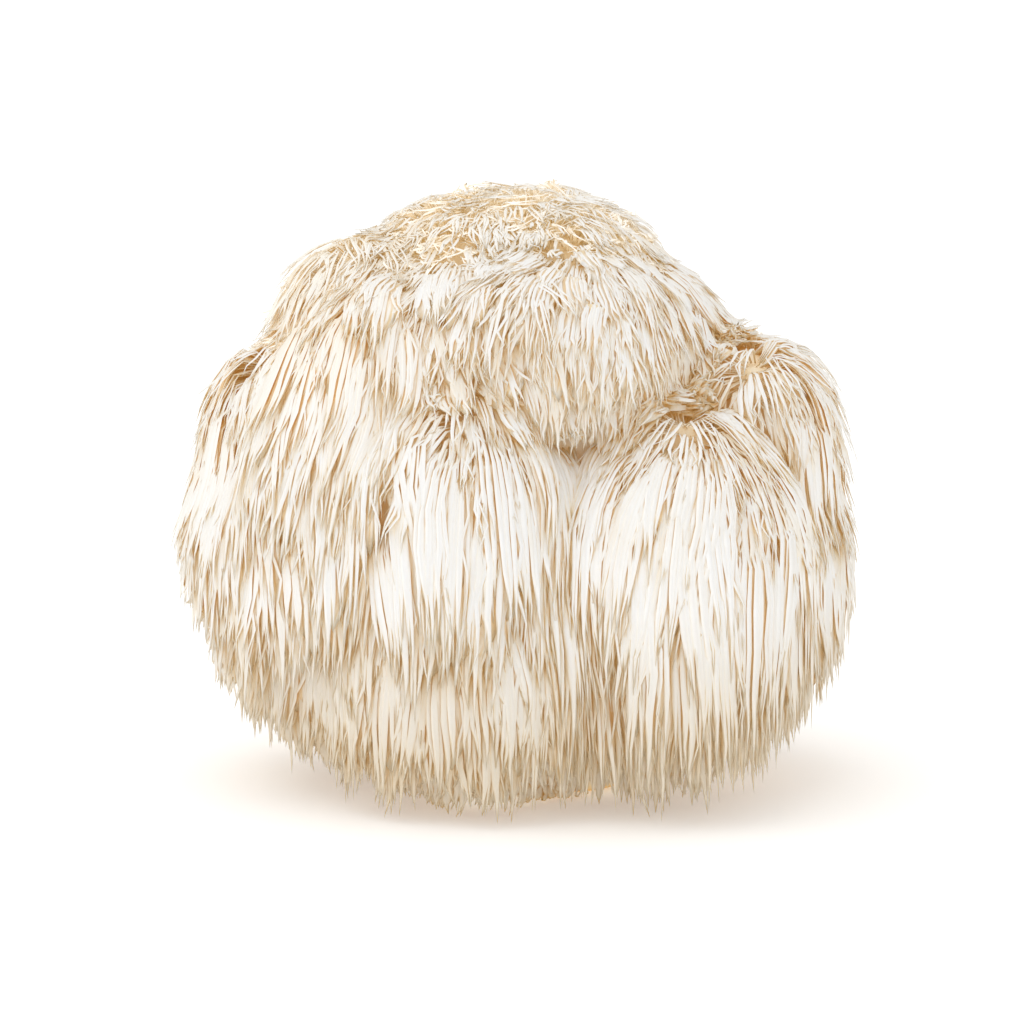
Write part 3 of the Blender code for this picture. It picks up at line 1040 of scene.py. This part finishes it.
def make_spine_finish(name, glow_in_open):
    """Fungus tissue: white, soft, faintly translucent, with painted shade that turns it ochre
    where it is deep, and a painted glow.
    """
    finish, tree, shader = new_finish(name)
    titles = ("along", "tan", "own", "deep", "across", "fluffy")
    value = {title: read_value(tree, title) for title in titles}
    place = add(tree, "ShaderNodeTexCoord").outputs["Object"]
    streak = add(tree, "ShaderNodeTexNoise", Vector=place, Scale=STREAK, Detail=1.0)
    streak = streak.outputs["Fac"]
    fresh_stops = ((0.0, "#F5F2EA"), (0.15, "#F4F5F5"), (0.6, "#F3F5F7"), (1, "#F4F3F0"))
    fresh = add_ramp(tree, value["along"], fresh_stops)
    dried_stops = ((0.0, "#FBEFDA"), (0.25, "#FBF6EA"), (0.6, "#FAF8F3"), (1.0, "#FAF4E8"))
    dried = add_ramp(tree, value["along"], dried_stops)
    base = add_mix(tree, times(tree, value["tan"], 0.8), fresh, dried)

    # the flutes, which only the bodies have: a bump, and painted shade in the grooves
    way = add(tree, "ShaderNodeCombineXYZ", X=value["across"], Y=value["along"], Z=value["own"])
    stretch = {"operation": "MULTIPLY"}
    way = add(tree, "ShaderNodeVectorMath", stretch, i0=way.outputs[0], i1=FLUTES)
    flute = add(tree, "ShaderNodeTexNoise", Vector=way.outputs[0], Scale=1.0, Detail=1.0)
    flute = flute.outputs["Fac"]
    aside = add(tree, "ShaderNodeMath", {"operation": "ABSOLUTE"}, i0=value["across"])
    above = {"operation": "GREATER_THAN"}
    on_body = add(tree, "ShaderNodeMath", above, i0=aside.outputs[0], i1=0.001).outputs[0]
    groove_shade = times(tree, between(tree, flute, (0.55, 0.35), (0.0, 1.0)), on_body)
    base = add_mix(tree, groove_shade, base, "#F6DFB8", "MULTIPLY")

    # painted shade: ochre under other locks, gold in the gaps and ochre low down; then what
    # differs from place to place
    base = add_mix(tree, times(tree, value["deep"], 0.3), base, "#F4DCAE", "MULTIPLY")
    # painted shade in the gaps, weaker on threads and on the crown, and a painted glow
    gold = add_painted_gap_shade(tree, shader, glow_in_open)
    height = add(tree, "ShaderNodeSeparateXYZ", Vector=place).outputs["Z"]
    golden = between(tree, value["fluffy"], (0.0, 1.0), (1.0, 0.3))
    golden = times(tree, golden, between(tree, height, CROWN_RISES, CROWN_FADE))
    base = add_mix(tree, golden, base, gold, "MULTIPLY")
    base = add_mix(tree, times(tree, value["own"], 0.1), base, "#F7EEDC")
    # painted shade: ochre, darker towards the bottom
    low = between(tree, height, LOW_SHADE_FALLS, (0.0, 0.55))
    base = add_mix(tree, low, base, "#DDC8A0", "MULTIPLY")
    base = add_mix(tree, times(tree, streak, 0.1), base, "#F0D8B0", "MULTIPLY")

    # the skin
    pores = add(tree, "ShaderNodeTexNoise", Vector=place, Scale=PORE, Detail=0.0)
    fine = {"Height": pores.outputs["Fac"], "Strength": 0.25, "Distance": 0.05 * MM}
    coarse = {"Height": flute, "Strength": 0.6, "Distance": 0.5 * MM}
    bump = add(tree, "ShaderNodeBump", **fine)
    bump = add(tree, "ShaderNodeBump", **coarse, Normal=bump.outputs[0])
    rough = between(tree, streak, (0.0, 1.0), (0.42, 0.68))
    plug(shader, Base_Color=base, Roughness=rough, Normal=bump.outputs[0])
    plug(shader, IOR=TISSUE_IOR, Specular_IOR_Level=0.35)
    plug(shader, Sheen_Weight=0.5, Sheen_Roughness=0.5, Sheen_Tint=(1.0, 0.86, 0.62, 1.0))
    finish.cycles.emission_sampling = "NONE"
    return finish


def make_flesh_finish():
    """The flesh between the spines: cream with painted shade, ochre under the locks and gold in
    the gaps, a faint painted glow, soft and finely pitted.
    """
    finish, tree, shader = new_finish("inner_fungus_flesh")
    place = add(tree, "ShaderNodeTexCoord").outputs["Object"]
    patch = add(tree, "ShaderNodeTexNoise", Vector=place, Scale=PATCH, Detail=1.0)
    patch = patch.outputs["Fac"]
    colour = add_ramp(tree, patch, ((0.3, "#F5EEDF"), (0.7, "#F7F3E9")))
    # painted shade: ochre cream where other locks cover the flesh
    colour = add_mix(tree, read_value(tree, "deep"), colour, "#F6E4C4")
    height = add(tree, "ShaderNodeSeparateXYZ", Vector=place).outputs["Z"]
    golden = between(tree, height, CROWN_RISES, CROWN_FADE)
    # painted shade, gold in the gaps, and a painted glow
    gold = add_painted_gap_shade(tree, shader, FLESH_PAINTED_GLOW)
    colour = add_mix(tree, golden, colour, gold, "MULTIPLY")
    rough = between(tree, patch, (0.0, 1.0), (0.6, 0.85))
    pits = add(tree, "ShaderNodeTexVoronoi", Vector=place, Scale=PIT)
    depth = {"Height": pits.outputs["Distance"], "Strength": 0.5, "Distance": 0.2 * MM}
    bump = add(tree, "ShaderNodeBump", **depth)
    plug(shader, Base_Color=colour, Roughness=rough, Normal=bump.outputs[0])
    finish.cycles.emission_sampling = "NONE"
    return finish


spine_finish = make_spine_finish("fresh_fungus_tissue", SPINE_PAINTED_GLOW)
curl_finish = make_spine_finish("dried_fungus_curls", CURL_PAINTED_GLOW)
flesh_piece.data.materials.append(make_flesh_finish())
for piece in spine_pieces:
    curly = KIND_OF[piece.name.removeprefix("spines_")] in CURLS
    piece.data.materials.append(curl_finish if curly else spine_finish)

# %% [markdown]
# ## Hand the pieces to the solid
#
# The spines and the flesh stand in for the plain solid, so they ride on its one body.

# %% Fix the pieces to the frame and hide the plain solid
for piece in (flesh_piece, *spine_pieces):
    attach(piece, "root")
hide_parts(NODE)
